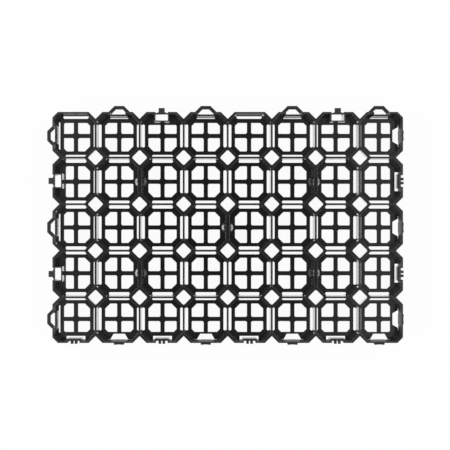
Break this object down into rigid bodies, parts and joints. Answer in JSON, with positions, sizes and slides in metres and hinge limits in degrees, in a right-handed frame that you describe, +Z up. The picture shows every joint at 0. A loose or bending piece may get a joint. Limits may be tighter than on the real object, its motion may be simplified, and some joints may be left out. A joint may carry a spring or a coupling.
{
  "type": "grass paver grid",
  "caption": "Moulded plastic ground grid with octagonal cells, diamond wells and a grated base, and with loops and clips that join it to its neighbours.",
  "frame": {"origin": "centre of the outline on the level underside", "axes": "+X along the long side, +Y across towards a side with loops, +Z up through the open cells"},
  "size_m": [0.6166, 0.4132, 0.04],
  "materials": {
    "black_plastic": "as moulded, satin black"
  },
  "bodies": {
    "root": {"paver_grid": "black_plastic"}
  },
  "joints": []
}
